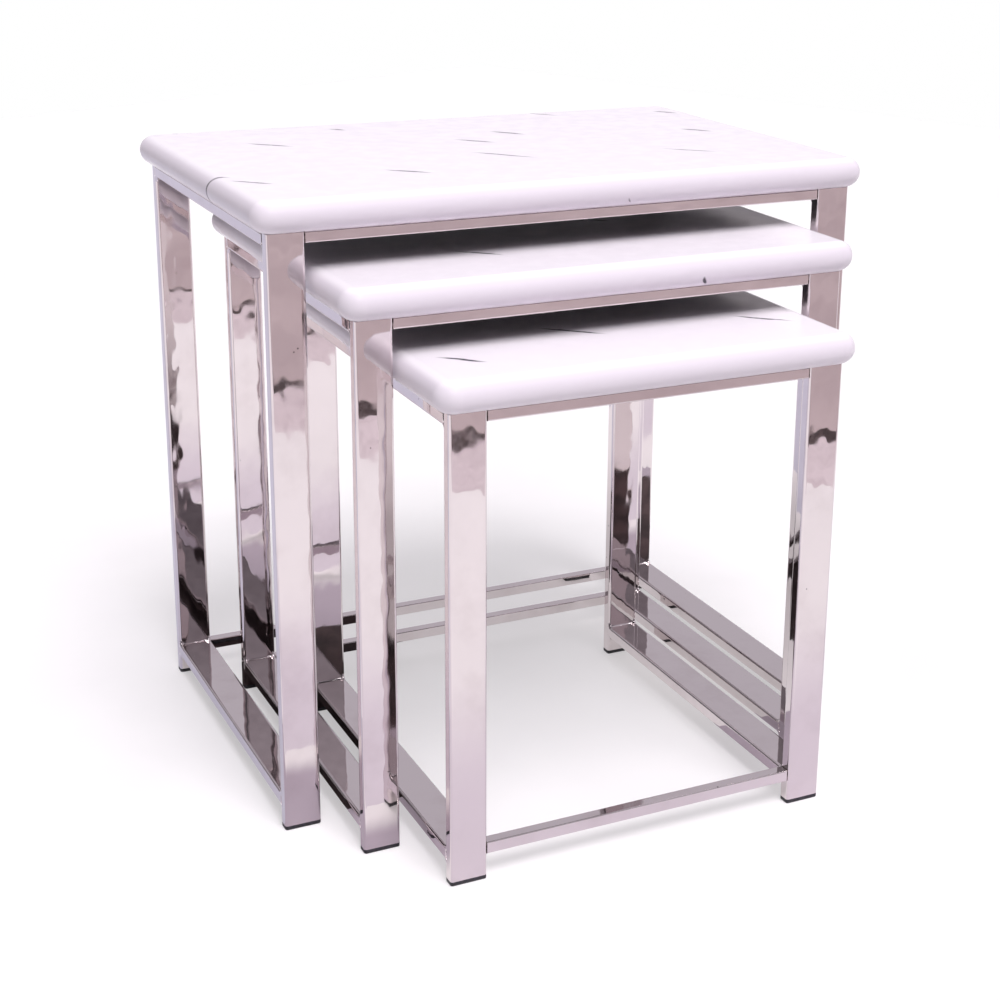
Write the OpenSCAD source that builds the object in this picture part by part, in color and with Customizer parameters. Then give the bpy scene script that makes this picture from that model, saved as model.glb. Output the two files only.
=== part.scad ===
// Set of three nesting tables: flat-tube frames with polished faces under white round-edged tops.
// Units are millimetres. +X runs along the long side, -Y is the front, +Z is up.
// The origin is on the floor, in the middle of the set as it stands drawn out in steps.

/* [Frame widths] */
// Width of the large table's frame across its legs
large_w = 576; // [570:1:640]
// Width of the medium table's frame across its legs
medium_w = 474; // [470:1:480]
// Width of the small table's frame across its legs
small_w = 376; // [300:1:380]
// Depth of every frame, from the front of its legs to their back
frame_d = 376; // [330:1:430]

/* [Heights] */
// Height of the large table's top surface above the floor
large_h = 580; // [560:1:700]
// Height of the medium table's top surface above the floor
medium_h = 517; // [497:1:535]
// Height of the small table's top surface above the floor
small_h = 455; // [320:1:472]

/* [Drawn out] */
// How far the medium frame stands forward of the large one
medium_out = 68; // [14:1:360]
// How far the small frame stands forward of the medium one
small_out = 81; // [14:1:360]

/* [Tops] */
// Thickness of each top, and the diameter of its round edge
top_t = 28; // [20:1:32]
// How far a top reaches past the outer faces of the legs
overhang = 12; // [8:1:13]
// Radius of a top's corners, seen from above
corner_r = 18; // [17:1:40]

/* [Legs and side rails] */
// Width of the flat tube, across the front of a leg
tube_w = 34; // [30:1:34]
// Thickness of the flat tube
tube_t = 12.5; // [10:0.5:14]
// Radius of the flat tube's outer corners
tube_r = 2.5; // [1.5:0.5:4]
// Wall thickness of the tubes
wall = 1.2; // [1:0.1:1.4]
// Height of the lower side rails' underside above the floor
side_rail_z = 20; // [18:1:60]
// Radius of the ground welds between the side rails and the legs
weld_r = 5; // [3:0.5:8]

/* [Cross rails] */
// Height and depth of the square tube under the front and back of a top
upper_rail = 10; // [8:0.5:11]
// Height and depth of the square tube near the floor
lower_rail = 11; // [8:0.5:11]
// Radius of the square tubes' outer corners
rail_r = 1.5; // [1.3:0.1:2]
// How far a cross rail is set in from the face of the legs
rail_inset = 1; // [0.5:0.5:1.5]
// Height of the back cross rails' underside above the floor
back_rail_z = 21; // [20:1:60]
// Height of the small table's front cross rail above the floor
front_rail_z = 23.5; // [20:0.5:60]

/* [Foot caps] */
// Height of a foot cap below the end of its leg
foot_h = 4; // [2:0.5:8]
// Height of the plug that fills the end of the leg
plug_h = 12; // [6:1:14]

/* [Hidden] */
$fn = 64;
large = 0;
medium = 1;
small = 2;
frame_w = [large_w, medium_w, small_w];
table_h = [large_h, medium_h, small_h];
forward = [0, medium_out, medium_out + small_out];
// Clearance around a plug in the end of its leg
plug_gap = 0.1;
left = -1;
right = 1;
front = -1;
back = 1;
steel = [0.80, 0.77, 0.79];
marble = [0.95, 0.94, 0.95];
black = [0.12, 0.12, 0.13];

// Front face of a table's legs
function front_y(table) = (forward[small] - frame_d) / 2 - forward[table];
// Height of a top's underside, where the frame ends
function under(table) = table_h[table] - top_t;
function upper_side_z(table) = under(table) - tube_t;
function upper_cross_z(table) = under(table) - upper_rail;
// Middle of a leg, seen from above
function leg_x(table, side) = side * (frame_w[table] - tube_w) / 2;
function leg_y(table, end) = front_y(table) + (frame_d + end * (frame_d - tube_t)) / 2;

// Rectangle with round corners, centred on the origin
module round_rect(width, depth, radius) {
  square([width - 2 * radius, depth], center = true);
  square([width, depth - 2 * radius], center = true);
  for (x = [-1, 1]) {
    for (y = [-1, 1]) {
      translate([x * (width / 2 - radius), y * (depth / 2 - radius)]) circle(radius);
    }
  }
}

// Upright tube that stands on the origin
module tube(width, depth, radius, length) {
  linear_extrude(length) {
    difference() {
      round_rect(width, depth, radius);
      round_rect(width - 2 * wall, depth - 2 * wall, radius - wall);
    }
  }
}

// Section of a top: flat faces and half-round ends, with its underside on the X axis
module edge_profile(width) {
  translate([-width / 2 + top_t / 2, 0]) square([width - top_t, top_t]);
  for (x = [-1, 1]) {
    translate([x * (width - top_t) / 2, top_t / 2]) circle(top_t / 2);
  }
}

// Round disc with the same edge, for one corner of a top
module corner_disc() {
  rotate_extrude() {
    square([corner_r - top_t / 2, top_t]);
    translate([corner_r - top_t / 2, top_t / 2]) {
      intersection() {
        circle(top_t / 2);
        translate([0, -top_t / 2]) square(top_t);
      }
    }
  }
}

module slab(table) {
  width = frame_w[table] + 2 * overhang;
  depth = frame_d + 2 * overhang;
  translate([0, front_y(table) + frame_d / 2, under(table)]) {
    rotate([90, 0, 0]) {
      translate([0, 0, corner_r - depth / 2]) linear_extrude(depth - 2 * corner_r) edge_profile(width);
    }
    rotate([90, 0, 90]) {
      translate([0, 0, corner_r - width / 2]) linear_extrude(width - 2 * corner_r) edge_profile(depth);
    }
    for (x = [-1, 1]) {
      for (y = [-1, 1]) {
        translate([x * (width / 2 - corner_r), y * (depth / 2 - corner_r), 0]) corner_disc();
      }
    }
  }
}

module leg(table, side, end) {
  translate([leg_x(table, side), leg_y(table, end), foot_h]) {
    tube(tube_w, tube_t, tube_r, under(table) - foot_h);
  }
}

module foot(table, side, end) {
  inner = wall + plug_gap;
  translate([leg_x(table, side), leg_y(table, end), 0]) {
    linear_extrude(foot_h) round_rect(tube_w, tube_t, tube_r);
    linear_extrude(foot_h + plug_h) {
      round_rect(tube_w - 2 * inner, tube_t - 2 * inner, tube_r - inner);
    }
  }
}

// Ground weld in the corner between a rail's end and a leg, along X
module weld_fillet(radius) {
  rotate([90, 0, 90]) {
    linear_extrude(tube_w - 2 * tube_r, center = true) {
      difference() {
        square(radius);
        translate([radius, radius]) circle(radius);
      }
    }
  }
}

// Flat tube between a front and a back leg; welds holds the fillet radius below it and above it
module side_rail(table, side, z, welds) {
  length = frame_d - 2 * tube_t;
  start = front_y(table) + tube_t;
  translate([leg_x(table, side), start, z + tube_t / 2]) {
    rotate([-90, 0, 0]) tube(tube_w, tube_t, tube_r, length);
    translate([0, length / 2, 0]) {
      for (end = [0, 1]) {
        for (level = [0, 1]) {
          if (welds[level] > 0) {
            mirror([0, end, 0]) mirror([0, 0, 1 - level]) {
              translate([0, -length / 2, tube_t / 2]) weld_fillet(welds[level]);
            }
          }
        }
      }
    }
  }
}

// Square tube between two legs, just inside their front or back faces
module cross_rail(table, end, z, size) {
  length = frame_w[table] - 2 * tube_w;
  inset = (frame_d - size) / 2 - rail_inset;
  translate([-length / 2, front_y(table) + frame_d / 2 + end * inset, z + size / 2]) {
    rotate([0, 90, 0]) tube(size, size, rail_r, length);
  }
}

module large_top() {
  color(marble) slab(large);
}
module large_leg_front_left() {
  color(steel) leg(large, left, front);
}
module large_leg_front_right() {
  color(steel) leg(large, right, front);
}
module large_leg_back_left() {
  color(steel) leg(large, left, back);
}
module large_leg_back_right() {
  color(steel) leg(large, right, back);
}
module large_foot_front_left() {
  color(black) foot(large, left, front);
}
module large_foot_front_right() {
  color(black) foot(large, right, front);
}
module large_foot_back_left() {
  color(black) foot(large, left, back);
}
module large_foot_back_right() {
  color(black) foot(large, right, back);
}
module large_side_rail_upper_left() {
  color(steel) side_rail(large, left, upper_side_z(large), [weld_r, 0]);
}
module large_side_rail_upper_right() {
  color(steel) side_rail(large, right, upper_side_z(large), [weld_r, 0]);
}
module large_side_rail_lower_left() {
  color(steel) side_rail(large, left, side_rail_z, [weld_r, weld_r]);
}
module large_side_rail_lower_right() {
  color(steel) side_rail(large, right, side_rail_z, [weld_r, weld_r]);
}
module large_cross_rail_upper_front() {
  color(steel) cross_rail(large, front, upper_cross_z(large), upper_rail);
}
module large_cross_rail_upper_back() {
  color(steel) cross_rail(large, back, upper_cross_z(large), upper_rail);
}
module large_cross_rail_lower_back() {
  color(steel) cross_rail(large, back, back_rail_z, lower_rail);
}
module medium_top() {
  color(marble) slab(medium);
}
module medium_leg_front_left() {
  color(steel) leg(medium, left, front);
}
module medium_leg_front_right() {
  color(steel) leg(medium, right, front);
}
module medium_leg_back_left() {
  color(steel) leg(medium, left, back);
}
module medium_leg_back_right() {
  color(steel) leg(medium, right, back);
}
module medium_foot_front_left() {
  color(black) foot(medium, left, front);
}
module medium_foot_front_right() {
  color(black) foot(medium, right, front);
}
module medium_foot_back_left() {
  color(black) foot(medium, left, back);
}
module medium_foot_back_right() {
  color(black) foot(medium, right, back);
}
module medium_side_rail_upper_left() {
  color(steel) side_rail(medium, left, upper_side_z(medium), [weld_r, 0]);
}
module medium_side_rail_upper_right() {
  color(steel) side_rail(medium, right, upper_side_z(medium), [weld_r, 0]);
}
module medium_side_rail_lower_left() {
  color(steel) side_rail(medium, left, side_rail_z, [weld_r, weld_r]);
}
module medium_side_rail_lower_right() {
  color(steel) side_rail(medium, right, side_rail_z, [weld_r, weld_r]);
}
module medium_cross_rail_upper_front() {
  color(steel) cross_rail(medium, front, upper_cross_z(medium), upper_rail);
}
module medium_cross_rail_upper_back() {
  color(steel) cross_rail(medium, back, upper_cross_z(medium), upper_rail);
}
module medium_cross_rail_lower_back() {
  color(steel) cross_rail(medium, back, back_rail_z, lower_rail);
}
module small_top() {
  color(marble) slab(small);
}
module small_leg_front_left() {
  color(steel) leg(small, left, front);
}
module small_leg_front_right() {
  color(steel) leg(small, right, front);
}
module small_leg_back_left() {
  color(steel) leg(small, left, back);
}
module small_leg_back_right() {
  color(steel) leg(small, right, back);
}
module small_foot_front_left() {
  color(black) foot(small, left, front);
}
module small_foot_front_right() {
  color(black) foot(small, right, front);
}
module small_foot_back_left() {
  color(black) foot(small, left, back);
}
module small_foot_back_right() {
  color(black) foot(small, right, back);
}
module small_side_rail_upper_left() {
  color(steel) side_rail(small, left, upper_side_z(small), [weld_r, 0]);
}
module small_side_rail_upper_right() {
  color(steel) side_rail(small, right, upper_side_z(small), [weld_r, 0]);
}
module small_side_rail_lower_left() {
  color(steel) side_rail(small, left, side_rail_z, [weld_r, weld_r]);
}
module small_side_rail_lower_right() {
  color(steel) side_rail(small, right, side_rail_z, [weld_r, weld_r]);
}
module small_cross_rail_upper_front() {
  color(steel) cross_rail(small, front, upper_cross_z(small), upper_rail);
}
module small_cross_rail_upper_back() {
  color(steel) cross_rail(small, back, upper_cross_z(small), upper_rail);
}
module small_cross_rail_lower_front() {
  color(steel) cross_rail(small, front, front_rail_z, lower_rail);
}

large_top();
large_leg_front_left();
large_leg_front_right();
large_leg_back_left();
large_leg_back_right();
large_foot_front_left();
large_foot_front_right();
large_foot_back_left();
large_foot_back_right();
large_side_rail_upper_left();
large_side_rail_upper_right();
large_side_rail_lower_left();
large_side_rail_lower_right();
large_cross_rail_upper_front();
large_cross_rail_upper_back();
large_cross_rail_lower_back();
medium_top();
medium_leg_front_left();
medium_leg_front_right();
medium_leg_back_left();
medium_leg_back_right();
medium_foot_front_left();
medium_foot_front_right();
medium_foot_back_left();
medium_foot_back_right();
medium_side_rail_upper_left();
medium_side_rail_upper_right();
medium_side_rail_lower_left();
medium_side_rail_lower_right();
medium_cross_rail_upper_front();
medium_cross_rail_upper_back();
medium_cross_rail_lower_back();
small_top();
small_leg_front_left();
small_leg_front_right();
small_leg_back_left();
small_leg_back_right();
small_foot_front_left();
small_foot_front_right();
small_foot_back_left();
small_foot_back_right();
small_side_rail_upper_left();
small_side_rail_upper_right();
small_side_rail_lower_left();
small_side_rail_lower_right();
small_cross_rail_upper_front();
small_cross_rail_upper_back();
small_cross_rail_lower_front();
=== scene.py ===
import math

import bpy
from mathutils import Matrix, Vector


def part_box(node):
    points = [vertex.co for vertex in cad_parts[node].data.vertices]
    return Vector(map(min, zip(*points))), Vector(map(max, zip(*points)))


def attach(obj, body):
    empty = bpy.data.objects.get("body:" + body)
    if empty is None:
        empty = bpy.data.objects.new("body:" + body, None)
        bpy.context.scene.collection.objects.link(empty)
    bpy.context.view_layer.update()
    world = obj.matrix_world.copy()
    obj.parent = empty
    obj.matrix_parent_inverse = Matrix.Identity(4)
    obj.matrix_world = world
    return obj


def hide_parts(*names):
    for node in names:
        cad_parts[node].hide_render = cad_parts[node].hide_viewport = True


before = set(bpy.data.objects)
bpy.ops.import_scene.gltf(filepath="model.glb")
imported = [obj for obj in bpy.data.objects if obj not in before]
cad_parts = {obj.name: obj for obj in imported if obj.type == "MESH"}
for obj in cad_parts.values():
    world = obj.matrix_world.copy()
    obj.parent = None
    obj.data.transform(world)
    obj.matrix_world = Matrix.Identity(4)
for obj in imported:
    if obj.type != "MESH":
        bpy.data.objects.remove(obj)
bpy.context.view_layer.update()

TABLES = ("large", "medium", "small")
ENDS = ("front", "back")
SIDES = ("left", "right")

# ---------------------------------------------------------------- sizes, in metres
EDGE_STEPS = 20          # segments of a top's half-round edge
CORNER_STEPS = 14        # segments of a top's corner, seen from above
CAP_RING = 0.0006        # width of the flat ring that keeps the shading of a flat face flat
TOP_CORNER = 0.018       # corner radius of a top
TUBE_R = 0.0025          # corner radius of the flat tube
RAIL_R = 0.0010          # corner radius of the square tube
TUBE_STEPS = 6           # segments of a tube's round corner
WELD_R = 0.005           # radius of the ground welds at the outer edges of the side rails
WELD_MIDDLE = 0.0012     # and across the middle
WELD_STEPS = 8
WELD_THIN = ((0.0035, 0.6 * WELD_R), (0.006, WELD_MIDDLE))    # distance from the end, and radius there
JOINT_SHADE_WIDTH = 0.0007            # width of the painted shade at the joints at the ends of a cross rail
FOOT_ROUND = 0.0009      # radius of the foot caps' lower rim
FOOT_STEPS = 4           # segments of that rim
FOOT_CHAMFER = 0.0003    # height of the bevel where a foot cap meets its leg
PLUG_INSET = 0.0013      # how far a foot cap's plug is inside the leg's outer face
LEAD = 0.0004            # distance from a round corner to the point that keeps the flat beside it flat
TUBE_CUTS = 8            # lengths that a tube's skin is divided into

# ---------------------------------------------------------------- marble
# Veins of each top: middle across (x) and back from the front of the legs (y), length, all in
# millimetres. They lie at about 45 degrees and run round the edge where they reach it.
VEINS = {
    "large": (
        (-197, 272, 52), (-127, 87, 48), (-272, 86, 44), (-4, 223, 46), (-12, 137, 72),
        (49, 258, 42), (137, 364, 42), (238, 204, 38), (167, 95, 58), (-104, 341, 20),
        (-4, 379, 18), (-266, 378, 16), (-296, 128, 40), (271, 330, 30),
    ),
    "medium": ((-91, 83, 50), (63, 180, 54), (-170, 250, 40), (150, 300, 48), (-20, 330, 30)),
    "small": ((-30, 101, 66), (-153, 55, 46), (148, 72, 58), (40, 260, 50), (-120, 320, 40)),
}
# Short veins on the half-round front edges: x, length, and height from the middle, in millimetres.
# They lean the other way from those on the face.
EDGE_VEINS = {"large": ((45, 9, -11),), "medium": ((86, 14, -7),), "small": ()}
EDGE_VEIN_Y = -10                    # where the edge veins lie, in the same millimetres as y above
VEIN_ANGLE = math.radians(-46)
VEIN_JITTER = math.radians(5)        # how far a vein may turn from that angle
VEIN_HALF_WIDTH = 0.0030
VEIN_LENGTH_SCALE = 1.1
VEIN_TALL = 1000.0                   # a vein on the face goes right through the slab
EDGE_VEIN_TALL = 0.006
VEIN_STRENGTH = {"large": 0.85, "medium": 1.0, "small": 1.0}
VEIN_GREY = (0.10, 0.09, 0.11, 1)
STONE = (0.94, 0.90, 0.945, 1), (0.935, 0.892, 0.94, 1)
STONE_EDGE_SHADE = (0.80, 0.745, 0.81, 1)  # painted shade: below the flat face the stone is darkened to lavender
EDGE_SHADE_START = 0.005                   # the painted shade is full this far below the top surface
EDGE_SHADE_END = 0.0003                    # and gone this far below it

# ---------------------------------------------------------------- steel
STEEL_WAVE = {"X": 0.00005, "Y": 0.00006, "Z": 0.00011}    # bump height of tubes along each axis
STEEL_STRETCH = 0.55                 # the waves are this much slower along the tube
STEEL_COLOR = (0.745, 0.685, 0.69, 1), (0.675, 0.61, 0.615, 1)
PIT_COLOR = (0.16, 0.13, 0.14, 1)

# ---------------------------------------------------------------- floor, cards and light
PAPER = (0.50, 0.49, 0.495), (0.47, 0.46, 0.465)
PAPER_GLOW = 0.95
FLOOR_TURN = math.radians(21.8)      # the near edge of the floor is turned this much about z
FLOOR_EDGE = 1.38                    # and is this far in front of the middle of the set
FLOOR_SIZE = 4.0                     # reach of the floor to the sides and back
CARD_REACH = 3.0                     # reach to the sides of the cards along that edge
EDGE_CARD = 0.20                     # depth of the grey card before the edge
STRIP = 0.055                        # depth of the dark strip beyond it
BEYOND_END = 5.0                     # where the beige card beyond the strip ends
BROWN = (0.020, 0.012, 0.012, 1), (0.07, 0.045, 0.045, 1)
GREY = (0.60, 0.53, 0.55, 1), (0.72, 0.65, 0.67, 1)
BEIGE = (0.43, 0.36, 0.365, 1), (0.52, 0.44, 0.44, 1)
UNDER_Y = (-0.10, 0.25)              # the dark cards under the set, front to back; mirrors see them as painted shade on the floor beneath
UNDER_X = {"card_under_left": (-0.275, -0.05), "card_under_right": (0.265, 0.50)}
# Stretches of floor that mirrors see darker: x and y range, shade of each colour channel, and
# where along y the shade fades in, if it does
SHADED_FLOOR = {
    "card_near": ((-0.9, 1.1), (-0.75, -0.26), (0.79, 0.75, 0.82), (-0.68, -0.38)),
    "card_feet": ((-0.5, 0.5), (-0.26, -0.10), (0.50, 0.45, 0.52), (-0.245, -0.205)),
    "card_left": ((-3.0, -0.289), (-0.10, 3.9), (0.66, 0.67, 0.78), None),
}
STUDIO_DARK = (0.045, 0.035, 0.045, 1)
STUDIO_LIGHT = (0.62, 0.585, 0.64, 1)
SOFTBOX_COLOR = (12.7, 12.3, 12.7, 1)
SOFTBOX_TILT = math.radians(30)      # the bright patch of sky leans this much to the front
SOFTBOX_RIM = (0.945, 0.975)         # cosines of the angles at which it starts and is full
LEFT_DIM = (-0.65, -0.1, 0.25, 1.0)  # the left of the studio is dimmer: x from, x to, dim, full
KEY_AT = (-0.35, -1.9, 2.3)
KEY_AIM = (0, 0, 0.35)
KEY_SIZE = (0.5, 0.5)
KEY_POWER = 3
KEY_COLOR = (1.0, 0.97, 1.0)

# ---------------------------------------------------------------- camera
CAM_AZIMUTH = -26.0
CAM_ELEVATION = 17.03
CAM_ROLL = 0.69
CAM_AT = (-0.7238, -1.5442, 0.8655)
CAM_FOCAL = 1.831                    # focal length in sensor widths
CAM_SHIFT = (-0.05, -0.10)
SENSOR = 36.0                        # millimetres


# ---------------------------------------------------------------- mesh helpers
def add_mesh(name, verts, faces, materials, face_slots=None):
    mesh = bpy.data.meshes.new(name)
    mesh.from_pydata([tuple(v) for v in verts], [], faces)
    for material in materials:
        mesh.materials.append(material)
    for i, polygon in enumerate(mesh.polygons):
        polygon.use_smooth = True
        if face_slots:
            polygon.material_index = face_slots[i]
    mesh.validate()
    mesh.update()
    piece = bpy.data.objects.new(name, mesh)
    bpy.context.scene.collection.objects.link(piece)
    return piece


def outline(width, depth, radius, steps):
    """Points round a rectangle with round corners, anticlockwise, centred on the origin. A point on
    the straight, LEAD away from each end of a corner, keeps the shading of the flats flat."""
    points = []
    for corner, (sx, sy) in enumerate(((1, 1), (-1, 1), (-1, -1), (1, -1))):
        cx, cy = sx * (width / 2 - radius), sy * (depth / 2 - radius)
        for i in range(-1, steps + 2):
            turn = min(max(i, 0), steps) / steps
            angle = math.radians(90 * (corner + turn))
            slide = LEAD * ((i > steps) - (i < 0))
            points.append((cx + radius * math.cos(angle) - slide * math.sin(angle),
                           cy + radius * math.sin(angle) + slide * math.cos(angle)))
    return points


def loft(rings):
    """Vertices and faces of a closed skin through rings of equal length, the first ring lowest."""
    n = len(rings[0])
    verts = [p for ring in rings for p in ring]
    faces = [tuple(reversed(range(n)))]
    for k in range(len(rings) - 1):
        for i in range(n):
            j = (i + 1) % n
            faces.append((k * n + i, k * n + j, (k + 1) * n + j, (k + 1) * n + i))
    faces.append(tuple((len(rings) - 1) * n + i for i in range(n)))
    return verts, faces


def ride_as(piece, node):
    """The piece stands for a CAD node and moves with its body."""
    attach(piece, node.split("_")[0] + "_table")
    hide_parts(node)


# ---------------------------------------------------------------- materials
def node_material(name):
    material = bpy.data.materials.new(name)
    material.use_nodes = True
    tree = material.node_tree
    tree.nodes.clear()
    out = tree.nodes.new("ShaderNodeOutputMaterial")
    shader = tree.nodes.new("ShaderNodeBsdfPrincipled")
    tree.links.new(shader.outputs["BSDF"], out.inputs["Surface"])
    coords = tree.nodes.new("ShaderNodeTexCoord")
    return material, tree, shader, coords.outputs["Object"]


def add(tree, kind, links=None, **settings):
    """Adds a node, sets its properties and its numbered or named inputs, and links what is given."""
    node = tree.nodes.new("ShaderNode" + kind)
    for key, value in settings.items():
        if hasattr(node, key):
            setattr(node, key, value)
        else:
            node.inputs[key].default_value = value
    for key, source in (links or {}).items():
        tree.links.new(source, node.inputs[key])
    return node


def noise(tree, vector, scale, detail=3.0, roughness=0.5):
    return add(tree, "TexNoise", {"Vector": vector}, Scale=scale, Detail=detail, Roughness=roughness)


def stretch(tree, vector, scale):
    node = add(tree, "Mapping", {"Vector": vector})
    node.inputs["Scale"].default_value = scale
    return node.outputs["Vector"]


def ramp(tree, value, low, high, to_low=0.0, to_high=1.0):
    node = add(tree, "MapRange", {"Value": value}, interpolation_type="SMOOTHSTEP")
    node.inputs["From Min"].default_value = low
    node.inputs["From Max"].default_value = high
    node.inputs["To Min"].default_value = to_low
    node.inputs["To Max"].default_value = to_high
    return node.outputs["Result"]


def mix_color(tree, factor, a, b):
    node = add(tree, "Mix", data_type="RGBA")
    if isinstance(factor, float):
        node.inputs[0].default_value = factor
    else:
        tree.links.new(factor, node.inputs[0])
    for socket, value in ((node.inputs[6], a), (node.inputs[7], b)):
        if isinstance(value, tuple):
            socket.default_value = value
        else:
            tree.links.new(value, socket)
    return node.outputs[2]


def math_node(tree, operation, a, b):
    node = add(tree, "Math", operation=operation)
    for socket, value in ((node.inputs[0], a), (node.inputs[1], b)):
        if isinstance(value, (int, float)):
            socket.default_value = value
        else:
            tree.links.new(value, socket)
    return node.outputs[0]


def marble(table):
    """White marble with short fine grey veins, and painted shade on the round edge below the flat face."""
    material, tree, shader, where = node_material(table + "_marble")
    front_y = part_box(table + "_leg_front_left")[0].y
    top_lo, top_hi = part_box(table + "_top")
    middle = (top_lo.z + top_hi.z) / 2
    wobble = noise(tree, where, 38.0, 2.0)
    shift = add(tree, "VectorMath", {0: wobble.outputs["Color"]}, operation="SUBTRACT")
    shift.inputs[1].default_value = (0.5, 0.5, 0.5)
    small = add(tree, "VectorMath", {0: shift.outputs[0]}, operation="SCALE")
    small.inputs["Scale"].default_value = 0.005
    bent = add(tree, "VectorMath", {0: where, 1: small.outputs[0]}, operation="ADD").outputs[0]
    nearest = None
    spots = [(x, y, length, None) for x, y, length in VEINS[table]]
    spots += [(x, EDGE_VEIN_Y, length, middle + rise / 1000) for x, length, rise in EDGE_VEINS[table]]
    for i, (x, y, length, z) in enumerate(spots):
        lean = VEIN_ANGLE if z is None else -VEIN_ANGLE
        local = add(tree, "Mapping", {"Vector": bent}, vector_type="TEXTURE")
        centre = (x / 1000, front_y + y / 1000, 0.0 if z is None else z)
        local.inputs["Location"].default_value = centre
        local.inputs["Rotation"].default_value = (0, 0, lean + VEIN_JITTER * math.sin(7 * i + 1))
        tall = VEIN_TALL if z is None else EDGE_VEIN_TALL
        half = VEIN_HALF_WIDTH * (1.0 + 0.3 * math.sin(3 * i)) * (1.0 if z is None else 0.5)
        local.inputs["Scale"].default_value = (VEIN_LENGTH_SCALE * length / 2000, half, tall)
        far = add(tree, "VectorMath", {0: local.outputs[0]}, operation="LENGTH").outputs["Value"]
        nearest = far if nearest is None else math_node(tree, "MINIMUM", nearest, far)
    vein = ramp(tree, nearest, 1.0, 0.45)
    broken = ramp(tree, noise(tree, where, 120.0, 2.0).outputs["Fac"], 0.25, 0.50, 0.6, 1.0)
    vein = math_node(tree, "MULTIPLY", vein, broken)
    vein = math_node(tree, "MULTIPLY", vein, VEIN_STRENGTH[table])
    cloud = ramp(tree, noise(tree, where, 7.0, 3.0).outputs["Fac"], 0.35, 0.75)
    stone = mix_color(tree, cloud, *STONE)
    # painted shade: the stone fades to lavender on the round edge below the flat face
    above_floor = add(tree, "SeparateXYZ", {0: where}).outputs["Z"]
    clear_of_edge_shade = ramp(tree, above_floor, top_hi.z - EDGE_SHADE_START, top_hi.z - EDGE_SHADE_END)
    stone = mix_color(tree, clear_of_edge_shade, STONE_EDGE_SHADE, stone)
    color = mix_color(tree, vein, stone, VEIN_GREY)
    tree.links.new(color, shader.inputs["Base Color"])
    gloss = ramp(tree, noise(tree, where, 60.0, 3.0).outputs["Fac"], 0.3, 0.7, 0.16, 0.24)
    tree.links.new(gloss, shader.inputs["Roughness"])
    shader.inputs["Specular IOR Level"].default_value = 0.15
    grain = noise(tree, where, 24.0, 2.0)
    bump = add(tree, "Bump", {"Height": grain.outputs["Fac"]})
    bump.inputs["Strength"].default_value = 0.05
    bump.inputs["Distance"].default_value = 0.001
    tree.links.new(bump.outputs["Normal"], shader.inputs["Normal"])
    return material


def steel(name, along, wave):
    """Polished stainless tube. The sheet is slightly wavy, and stretched along one axis."""
    material, tree, shader, where = node_material(name)
    shader.inputs["Metallic"].default_value = 1.0
    long = stretch(tree, where, tuple(STEEL_STRETCH if axis == along else 1.0 for axis in "XYZ"))
    waves = noise(tree, long, 100.0, 0.0, 0.4)
    swell = noise(tree, long, 30.0, 1.0, 0.4)
    ripple = math_node(tree, "ADD", waves.outputs["Fac"], swell.outputs["Fac"])
    bump = add(tree, "Bump", {"Height": ripple})
    bump.inputs["Strength"].default_value = 1.0
    bump.inputs["Distance"].default_value = wave
    tree.links.new(bump.outputs["Normal"], shader.inputs["Normal"])
    haze = ramp(tree, noise(tree, where, 45.0, 4.0, 0.6).outputs["Fac"], 0.35, 0.75, 0.02, 0.07)
    tree.links.new(haze, shader.inputs["Roughness"])
    stain = ramp(tree, noise(tree, where, 16.0, 4.0, 0.6).outputs["Fac"], 0.45, 0.8)
    color = mix_color(tree, stain, *STEEL_COLOR)
    pits = add(tree, "TexVoronoi", {"Vector": where}, Scale=95.0)
    pit = ramp(tree, pits.outputs["Distance"], 0.10, 0.04)
    rare = ramp(tree, noise(tree, where, 22.0, 2.0).outputs["Fac"], 0.60, 0.66)
    pit = math_node(tree, "MULTIPLY", pit, rare)
    color = mix_color(tree, pit, color, PIT_COLOR)
    tree.links.new(color, shader.inputs["Base Color"])
    return material


def joint_shade_steel():
    """Dark steel: painted shade where a cross rail meets a leg."""
    material, tree, shader, where = node_material("painted_joint_shade")
    shader.inputs["Metallic"].default_value = 1.0
    blotch = ramp(tree, noise(tree, where, 250.0, 3.0).outputs["Fac"], 0.35, 0.65)
    color = mix_color(tree, blotch, (0.05, 0.035, 0.03, 1), (0.34, 0.28, 0.27, 1))
    tree.links.new(color, shader.inputs["Base Color"])
    tree.links.new(ramp(tree, blotch, 0.0, 1.0, 0.6, 0.35), shader.inputs["Roughness"])
    return material


def plastic():
    material, tree, shader, where = node_material("black_plastic")
    speck = ramp(tree, noise(tree, where, 300.0, 4.0).outputs["Fac"], 0.35, 0.7)
    color = mix_color(tree, speck, (0.012, 0.011, 0.014, 1), (0.035, 0.032, 0.040, 1))
    tree.links.new(color, shader.inputs["Base Color"])
    gloss = ramp(tree, noise(tree, where, 150.0, 3.0).outputs["Fac"], 0.3, 0.7, 0.38, 0.6)
    tree.links.new(gloss, shader.inputs["Roughness"])
    return material


def backing():
    """Dark sealed board on the underside of a top."""
    material, tree, shader, where = node_material("dark_backing")
    fibre = noise(tree, stretch(tree, where, (1.0, 6.0, 1.0)), 70.0, 4.0)
    strand = ramp(tree, fibre.outputs["Fac"], 0.3, 0.7)
    color = mix_color(tree, strand, (0.014, 0.012, 0.015, 1), (0.04, 0.035, 0.04, 1))
    tree.links.new(color, shader.inputs["Base Color"])
    gloss = ramp(tree, fibre.outputs["Fac"], 0.3, 0.7, 0.5, 0.8)
    tree.links.new(gloss, shader.inputs["Roughness"])
    return material


STEEL = {axis: steel("polished_steel_" + axis.lower(), axis, wave) for axis, wave in STEEL_WAVE.items()}
PLASTIC = plastic()
JOINT_SHADE_STEEL = joint_shade_steel()
BACKING = backing()
MARBLE = {table: marble(table) for table in TABLES}


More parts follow.
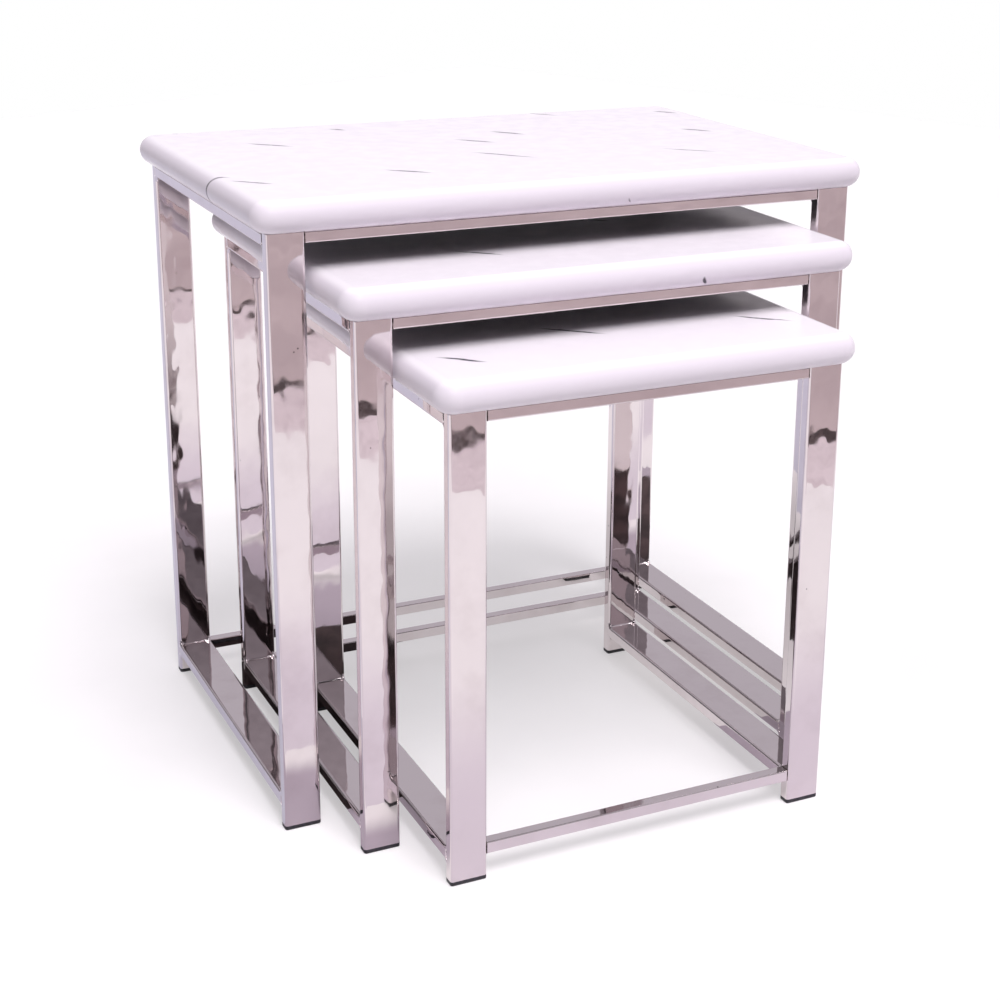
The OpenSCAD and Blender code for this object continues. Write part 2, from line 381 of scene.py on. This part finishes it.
# ---------------------------------------------------------------- pieces
def make_top(table):
    node = table + "_top"
    lo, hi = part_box(node)
    centre = (lo + hi) / 2
    width, depth, radius = hi.x - lo.x, hi.y - lo.y, (hi.z - lo.z) / 2
    rings = []
    for i in range(EDGE_STEPS + 1):
        angle = math.radians(-90 + 180 * i / EDGE_STEPS)
        inset = radius * (1 - math.cos(angle))
        z = centre.z + radius * math.sin(angle)
        ring = outline(width - 2 * inset, depth - 2 * inset, TOP_CORNER - inset, CORNER_STEPS)
        rings.append([(centre.x + x, centre.y + y, z) for x, y in ring])
    inset = radius + CAP_RING
    flat = outline(width - 2 * inset, depth - 2 * inset, TOP_CORNER - inset, CORNER_STEPS)
    rings.insert(0, [(centre.x + x, centre.y + y, lo.z) for x, y in flat])
    rings.append([(centre.x + x, centre.y + y, hi.z) for x, y in flat])
    verts, faces = loft(rings)
    slots = [1] + [0] * (len(faces) - 1)
    piece = add_mesh(table + "_marble_top", verts, faces, [MARBLE[table], BACKING], slots)
    ride_as(piece, node)


def tube_rings(lo, hi, axis, radius, cuts):
    """Rings along a straight tube that fills the box from lo to hi."""
    a = "XYZ".index(axis)
    u, v = ((1, 2), (2, 0), (0, 1))[a]
    section = outline(hi[u] - lo[u], hi[v] - lo[v], radius, TUBE_STEPS)
    rings = []
    for along in cuts:
        ring = []
        for pu, pv in section:
            p = [0.0, 0.0, 0.0]
            p[a] = along
            p[u] = (lo[u] + hi[u]) / 2 + pu
            p[v] = (lo[v] + hi[v]) / 2 + pv
            ring.append(tuple(p))
        rings.append(ring)
    return rings


def even_cuts(start, end, lead=LEAD):
    """Stations along a tube: its ends, a point lead inside each, and even steps between those."""
    inner = [start + lead + (end - start - 2 * lead) * i / TUBE_CUTS for i in range(TUBE_CUTS + 1)]
    return [start] + inner + [end]


def make_leg(table, end, side):
    node = f"{table}_leg_{end}_{side}"
    lo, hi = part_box(node)
    verts, faces = loft(tube_rings(lo, hi, "Z", TUBE_R, even_cuts(lo.z, hi.z)))
    piece = add_mesh(f"{table}_tube_leg_{end}_{side}", verts, faces, [STEEL["Z"]])
    ride_as(piece, node)


def make_foot(table, end, side):
    node = f"{table}_foot_{end}_{side}"
    lo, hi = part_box(node)
    leg_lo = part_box(f"{table}_leg_{end}_{side}")[0]
    centre = (lo + hi) / 2
    width, depth = hi.x - lo.x, hi.y - lo.y

    def ring(inset, z):
        flat = outline(width - 2 * inset, depth - 2 * inset, max(TUBE_R - inset, 0.0006), TUBE_STEPS)
        return [(centre.x + x, centre.y + y, z) for x, y in flat]

    rings = [ring(FOOT_ROUND + 0.0005, lo.z)]
    for i in range(FOOT_STEPS + 1):
        angle = math.radians(-90 + 90 * i / FOOT_STEPS)
        rings.append(ring(FOOT_ROUND * (1 - math.cos(angle)), lo.z + FOOT_ROUND * (1 + math.sin(angle))))
    rings += [ring(0.0, leg_lo.z - FOOT_CHAMFER), ring(0.0002, leg_lo.z)]
    rings += [ring(PLUG_INSET, leg_lo.z), ring(PLUG_INSET, hi.z)]
    verts, faces = loft(rings)
    piece = add_mesh(f"{table}_cap_{end}_{side}", verts, faces, [PLASTIC])
    ride_as(piece, node)


def weld_prism(x_lo, x_hi, y, y_way, z, z_way):
    """Ground weld in the corner at (y, z), open towards y_way and z_way. It follows the tube's round
    corners at both ends in x, and thins from there to the middle."""
    near = []
    for i in range(TUBE_STEPS + 1):
        angle = math.radians(90 * i / TUBE_STEPS)
        near.append((x_lo + TUBE_R * (1 - math.cos(angle)), TUBE_R * (1 - math.sin(angle)), WELD_R))
    near += [(x_lo + along, 0.0, radius) for along, radius in WELD_THIN]
    stations = near + [(x_hi + x_lo - x, sink, r) for x, sink, r in reversed(near)]
    made = []
    for x, sink, radius in stations:
        y0, z0 = y - y_way * sink, z - z_way * sink
        ring = [(x, y0, z0)]
        for k in range(WELD_STEPS + 1):
            angle = math.radians(90 * k / WELD_STEPS)
            along, up = radius * (1 - math.cos(angle)), radius * (1 - math.sin(angle))
            ring.append((x, y0 + y_way * along, z0 + z_way * up))
        if y_way * z_way > 0:
            ring = [ring[0]] + ring[:0:-1]
        made.append(ring)
    return loft(made)


def join(parts):
    verts, faces = [], []
    for v, f in parts:
        base = len(verts)
        verts += v
        faces += [tuple(base + i for i in face) for face in f]
    return verts, faces


def make_side_rail(table, level, side):
    node = f"{table}_side_rail_{level}_{side}"
    lo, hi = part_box(node)
    leg_lo, leg_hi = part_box(f"{table}_leg_front_{side}")
    thick = leg_hi.y - leg_lo.y
    base = lo.z + WELD_R
    tube_lo, tube_hi = Vector((lo.x, lo.y, base)), Vector((hi.x, hi.y, base + thick))
    parts = [loft(tube_rings(tube_lo, tube_hi, "Y", TUBE_R, even_cuts(lo.y, hi.y)))]
    faces_z = [(base, -1)] + ([(base + thick, 1)] if level == "lower" else [])
    for z, z_way in faces_z:
        for y, y_way in ((lo.y, 1), (hi.y, -1)):
            parts.append(weld_prism(lo.x, hi.x, y, y_way, z, z_way))
    verts, faces = join(parts)
    piece = add_mesh(f"{table}_tube_rail_{level}_{side}", verts, faces, [STEEL["Y"]])
    ride_as(piece, node)


def make_cross_rail(table, level, end):
    node = f"{table}_cross_rail_{level}_{end}"
    lo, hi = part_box(node)
    cuts = even_cuts(lo.x, hi.x, JOINT_SHADE_WIDTH)
    verts, faces = loft(tube_rings(lo, hi, "X", RAIL_R, cuts))
    around = (len(faces) - 2) // (len(cuts) - 1)
    # painted shade: the first and last lengths of a cross rail, where it meets the legs, get the dark steel
    shaded_ring = [1] * (around + 1)
    slots = shaded_ring + [0] * (len(faces) - 2 * len(shaded_ring)) + shaded_ring
    piece = add_mesh(f"{table}_square_rail_{level}_{end}", verts, faces, [STEEL["X"], JOINT_SHADE_STEEL], slots)
    ride_as(piece, node)


for table in TABLES:
    make_top(table)
    for side in SIDES:
        for end in ENDS:
            make_leg(table, end, side)
            make_foot(table, end, side)
        for level in ("upper", "lower"):
            make_side_rail(table, level, side)
    for end in ENDS:
        make_cross_rail(table, "upper", end)
    make_cross_rail(table, "lower", "front" if table == "small" else "back")


# ---------------------------------------------------------------- floor, light and camera
def in_front(across, ahead, z):
    """Corners of a level sheet, turned like the floor: across to the right, ahead to the front."""
    right = Vector((math.cos(FLOOR_TURN), math.sin(FLOOR_TURN), 0))
    front = Vector((math.sin(FLOOR_TURN), -math.cos(FLOOR_TURN), 0))
    corners = ((0, 1), (1, 1), (1, 0), (0, 0))
    return [right * across[a] + front * ahead[b] + Vector((0, 0, z)) for a, b in corners]


def floor_material(name, shade=None, fade=None):
    """Pale lit paper. A shade darkens it: all over or, with fade, from one place along y to another."""
    material, tree, shader, where = node_material(name)
    paper = ramp(tree, noise(tree, where, 3.0, 4.0).outputs["Fac"], 0.3, 0.7)
    color = mix_color(tree, paper, *[pale + (1,) for pale in PAPER])
    if shade:
        shaded = mix_color(tree, paper, *[tuple(c * k for c, k in zip(pale, shade)) + (1,) for pale in PAPER])
        if fade:
            back = add(tree, "SeparateXYZ", {0: where}).outputs["Y"]
            color = mix_color(tree, ramp(tree, back, *fade), color, shaded)
        else:
            color = shaded
    tree.links.new(color, shader.inputs["Base Color"])
    tree.links.new(color, shader.inputs["Emission Color"])
    shader.inputs["Emission Strength"].default_value = PAPER_GLOW
    shader.inputs["Roughness"].default_value = 0.8
    return material


def make_floor():
    corners = in_front((-FLOOR_SIZE, FLOOR_SIZE), (-FLOOR_SIZE, FLOOR_EDGE), -0.0002)
    floor = add_mesh("pale_floor", corners, [(0, 1, 2, 3)], [floor_material("pale_floor")])


def hide_from_camera(card):
    """Leaves a card to be seen by mirrors only."""
    card.visible_camera = False
    card.visible_diffuse = False
    card.visible_shadow = False


def level_sheet(x_range, y_range, z):
    """Corners of a level rectangle, anticlockwise from above."""
    return [(x_range[a], y_range[b], z) for a, b in ((0, 0), (1, 0), (1, 1), (0, 1))]


def make_floor_card(name, x_range, y_range, shade, fade):
    """A stretch of floor that mirrors see darker than it is."""
    corners = level_sheet(x_range, y_range, -0.0001)
    hide_from_camera(add_mesh(name, corners, [(0, 1, 2, 3)], [floor_material(name, shade, fade)]))


def make_card(name, corners, low, high, grain=20.0):
    """A card that only mirrors see: it gives the steel something to reflect."""
    material, tree, shader, where = node_material(name)
    cloth = ramp(tree, noise(tree, where, grain, 4.0).outputs["Fac"], 0.3, 0.7)
    tree.links.new(mix_color(tree, cloth, low, high), shader.inputs["Base Color"])
    shader.inputs["Roughness"].default_value = 0.9
    hide_from_camera(add_mesh(name, corners, [(0, 1, 2, 3)], [material]))


def area_light(name, at, aim, size, power, color):
    data = bpy.data.lights.new(name, "AREA")
    data.shape = "RECTANGLE"
    data.size, data.size_y = size
    data.energy = power
    data.color = color
    lamp = bpy.data.objects.new(name, data)
    bpy.context.scene.collection.objects.link(lamp)
    lamp.location = at
    lamp.rotation_euler = (Vector(aim) - Vector(at)).to_track_quat("-Z", "Y").to_euler()


def make_world():
    """White behind the object for the camera. All else sees a studio that is dark near the horizon in
    front and dimmer on the left, with one bright patch overhead."""
    world = bpy.data.worlds.new("studio")
    bpy.context.scene.world = world
    world.use_nodes = True
    tree = world.node_tree
    tree.nodes.clear()
    out = tree.nodes.new("ShaderNodeOutputWorld")
    way = add(tree, "TexCoord").outputs["Generated"]
    split = add(tree, "SeparateXYZ", {0: way})
    up = split.outputs["Z"]
    ahead = ramp(tree, split.outputs["Y"], -0.55, 0.15)
    high = ramp(tree, up, 0.25, 0.62)
    bright = math_node(tree, "MAXIMUM", math_node(tree, "MULTIPLY", ahead, 0.9), high)
    tint = mix_color(tree, bright, STUDIO_DARK, STUDIO_LIGHT)
    toward = add(tree, "VectorMath", {0: way}, operation="DOT_PRODUCT")
    toward.inputs[1].default_value = (0.0, -math.sin(SOFTBOX_TILT), math.cos(SOFTBOX_TILT))
    patch = ramp(tree, toward.outputs["Value"], *SOFTBOX_RIM)
    tint = mix_color(tree, patch, tint, SOFTBOX_COLOR)
    left = ramp(tree, split.outputs["X"], *LEFT_DIM)
    around = add(tree, "Background", {"Color": tint, "Strength": left})
    white = add(tree, "Background", Strength=1.0)
    white.inputs["Color"].default_value = (1, 1, 1, 1)
    seen = add(tree, "LightPath").outputs["Is Camera Ray"]
    both = add(tree, "MixShader", {0: seen, 1: around.outputs[0], 2: white.outputs[0]})
    tree.links.new(both.outputs[0], out.inputs["Surface"])


def make_camera():
    """Camera at the photograph's viewing angle, to the front-left of the set and a little above it."""
    data = bpy.data.cameras.new("camera")
    camera = bpy.data.objects.new("camera", data)
    bpy.context.scene.collection.objects.link(camera)
    azimuth, elevation = math.radians(CAM_AZIMUTH), math.radians(CAM_ELEVATION)
    back = Vector((math.sin(azimuth) * math.cos(elevation),
                   -math.cos(azimuth) * math.cos(elevation),
                   math.sin(elevation)))
    camera.location = CAM_AT
    turn = (-back).to_track_quat("-Z", "Y").to_matrix().to_4x4()
    turn = turn @ Matrix.Rotation(math.radians(CAM_ROLL), 4, "Z")
    camera.rotation_euler = turn.to_euler()
    data.sensor_width = SENSOR
    data.lens = SENSOR * CAM_FOCAL
    data.shift_x, data.shift_y = CAM_SHIFT
    bpy.context.scene.camera = camera


make_floor()
make_world()
# painted shade: dark cards under the set that mirrors see in place of the shaded floor there
for name, x_range in UNDER_X.items():
    make_card(name, level_sheet(x_range, UNDER_Y, 0), *BROWN)
for name, (x_range, y_range, shade, fade) in SHADED_FLOOR.items():
    make_floor_card(name, x_range, y_range, shade, fade)
across = (-CARD_REACH, CARD_REACH)
strip_end = FLOOR_EDGE + STRIP
make_card("card_edge", in_front(across, (FLOOR_EDGE - EDGE_CARD, FLOOR_EDGE), 0.0), *GREY)
make_card("card_strip", in_front(across, (FLOOR_EDGE, strip_end), 0.0), *BROWN)
make_card("card_beyond", in_front(across, (strip_end, BEYOND_END), 0.0), *BEIGE, grain=3.0)
area_light("key", KEY_AT, KEY_AIM, KEY_SIZE, KEY_POWER, KEY_COLOR)
make_camera()

bpy.context.scene.view_settings.view_transform = "Standard"
